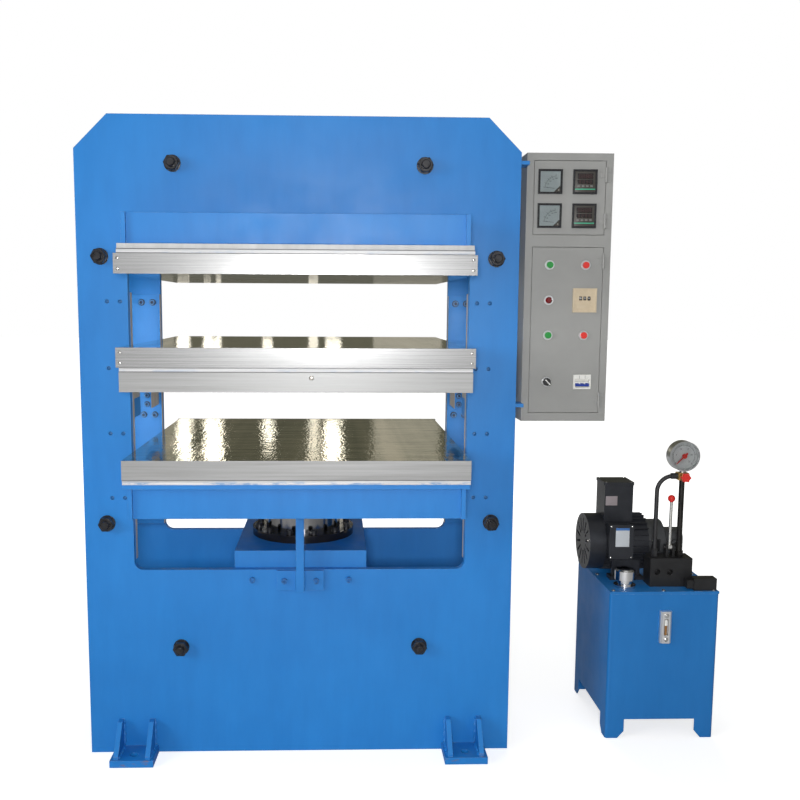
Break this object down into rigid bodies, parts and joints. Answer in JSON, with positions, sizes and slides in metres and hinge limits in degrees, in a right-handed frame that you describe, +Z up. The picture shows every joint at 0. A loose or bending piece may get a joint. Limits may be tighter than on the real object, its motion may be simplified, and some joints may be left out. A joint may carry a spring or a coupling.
{
  "type": "plate vulcanizing press",
  "caption": "Upright plate press with heated platens in a blue slab frame, a rising ram below, a side control cabinet and a separate hydraulic power unit.",
  "frame": {"origin": "middle of the press's four floor anchors, on the floor", "axes": "+X to the press's right seen from the front, +Y from front to rear, +Z up along the ram"},
  "size_m": [2.032, 1.024, 1.98],
  "materials": {
    "blue_paint": "semi-gloss machine enamel",
    "black_steel": "black oxide",
    "bare_steel": "machined",
    "platen_steel": "ground face, silver painted edges",
    "silver_paint": "aluminium paint",
    "insulation_board": "matt board, painted edge",
    "heater_steel": "drawn tube",
    "bush_bronze": "bored bronze",
    "seal_rubber": "matt",
    "chrome_plate": "hard chrome",
    "cabinet_paint": "light grey texture paint",
    "gear_plastic": "moulded",
    "instrument_black": "moulded bezel and face",
    "collar_metal": "satin collars",
    "lamp_red": "tinted lens",
    "button_green": "moulded cap",
    "button_red": "moulded cap",
    "timer_beige": "moulded bezel",
    "knob_black": "moulded",
    "breaker_white": "moulded",
    "toggle_blue": "moulded",
    "gauge_aluminium": "extruded",
    "cap_chrome": "plated pressing",
    "motor_paint": "dark enamel on a casting",
    "pump_iron": "as cast",
    "lever_chrome": "bright rod, red ball",
    "stand_brass": "machined",
    "needle_red": "painted",
    "hose_rubber": "smooth cover"
  },
  "bodies": {
    "press": {"front_frame_plate": "blue_paint", "rear_frame_plate": "blue_paint", "tie_rods": "black_steel", "spacer_tubes": "blue_paint", "cap_screws": "black_steel", "guide_bars": "blue_paint", "ledge_blocks": "bare_steel", "upper_beam": "blue_paint", "upper_insulation": "insulation_board", "upper_hot_plate": "platen_steel", "upper_front_cover": "silver_paint", "upper_heaters": "heater_steel", "cylinder_block": "blue_paint", "guide_bush": "bush_bronze", "plunger_seal": "seal_rubber", "gland_ring": "black_steel", "rest_posts": "blue_paint", "cabinet_shell": "cabinet_paint", "mounting_plate": "bare_steel", "control_gear": "gear_plastic", "cabinet_hinges": "bare_steel", "tank": "blue_paint", "tank_lid": "blue_paint", "level_gauge": "gauge_aluminium", "filler_cap": "cap_chrome", "pump_motor": "motor_paint", "fan_cowl": "motor_paint", "bell_housing": "pump_iron", "gear_pump": "pump_iron", "valve_block": "pump_iron", "gauge_stand": "stand_brass", "gauge_case": "cap_chrome", "gauge_hose": "hose_rubber"},
    "ram": {"moving_beam": "blue_paint", "lower_insulation": "insulation_board", "lower_hot_plate": "platen_steel", "lower_heaters": "heater_steel", "plunger": "chrome_plate"},
    "middle_platen": {"middle_lower_plate": "platen_steel", "middle_insulation": "insulation_board", "middle_upper_plate": "platen_steel", "middle_front_cover": "silver_paint", "middle_heaters": "heater_steel"},
    "instrument_door": {"upper_door": "cabinet_paint", "panel_instruments": "instrument_black"},
    "control_door": {"lower_door": "cabinet_paint", "button_bezels": "collar_metal", "indicator_lamp": "lamp_red", "timer": "timer_beige", "circuit_breaker": "breaker_white"},
    "pump_start": {"pump_start_button": "button_green"},
    "pump_stop": {"pump_stop_button": "button_red"},
    "press_up": {"press_up_button": "button_green"},
    "press_down": {"press_down_button": "button_red"},
    "selector": {"selector_knob": "knob_black"},
    "breaker_handle": {"breaker_toggle": "toggle_blue"},
    "motor_drive": {"drive_shaft": "bare_steel"},
    "lever": {"valve_lever": "lever_chrome"},
    "needle": {"gauge_needle": "needle_red"},
    "gauge_knob": {"gauge_valve_knob": "needle_red"}
  },
  "joints": [
    {"name": "ram_lift", "type": "slide", "parent": "press", "child": "ram", "axis": [0, 0, 1], "range_m": [0, 0.399]},
    {"name": "middle_lift", "type": "slide", "parent": "press", "child": "middle_platen", "axis": [0, 0, 1], "range_m": [0, 0.2036]},
    {"name": "instrument_door_swing", "type": "hinge", "parent": "press", "child": "instrument_door", "pos_m": [0.93525, -0.245, 1.752], "axis": [0, 0, 1], "range_deg": [0, 110]},
    {"name": "control_door_swing", "type": "hinge", "parent": "press", "child": "control_door", "pos_m": [0.93525, -0.245, 1.347], "axis": [0, 0, 1], "range_deg": [0, 110]},
    {"name": "pump_start_press", "type": "slide", "parent": "control_door", "child": "pump_start", "axis": [0, 1, 0], "range_m": [0, 0.004], "stiffness_N_per_m": 500, "springref_m": -0.001},
    {"name": "pump_stop_press", "type": "slide", "parent": "control_door", "child": "pump_stop", "axis": [0, 1, 0], "range_m": [0, 0.004], "stiffness_N_per_m": 500, "springref_m": -0.001},
    {"name": "press_up_press", "type": "slide", "parent": "control_door", "child": "press_up", "axis": [0, 1, 0], "range_m": [0, 0.004], "stiffness_N_per_m": 500, "springref_m": -0.001},
    {"name": "press_down_press", "type": "slide", "parent": "control_door", "child": "press_down", "axis": [0, 1, 0], "range_m": [0, 0.004], "stiffness_N_per_m": 500, "springref_m": -0.001},
    {"name": "selector_turn", "type": "hinge", "parent": "control_door", "child": "selector", "pos_m": [0.769, -0.25, 1.188], "axis": [0, 1, 0], "range_deg": [0, 90]},
    {"name": "breaker_flip", "type": "hinge", "parent": "control_door", "child": "breaker_handle", "pos_m": [0.881, -0.237, 1.184], "axis": [-1, 0, 0], "range_deg": [0, 56]},
    {"name": "motor_spin", "type": "hinge", "parent": "press", "child": "motor_drive", "pos_m": [1.15, 0.02, 0.612], "axis": [1, 0, 0], "continuous": true},
    {"name": "lever_tilt", "type": "hinge", "parent": "press", "child": "lever", "pos_m": [1.226, -0.126, 0.626], "axis": [1, 0, 0], "range_deg": [-20, 20]},
    {"name": "needle_sweep", "type": "hinge", "parent": "press", "child": "needle", "pos_m": [1.258, -0.14, 0.935], "axis": [0, 1, 0], "range_deg": [0, 270], "stiffness_Nm_per_rad": 0.002},
    {"name": "gauge_knob_turn", "type": "hinge", "parent": "press", "child": "gauge_knob", "pos_m": [1.258, -0.16, 0.867], "axis": [0, 1, 0], "range_deg": [0, 360]}
  ],
  "couplings": [
    {"joint": "middle_lift", "follows": "ram_lift", "ratio": 0.51}
  ]
}
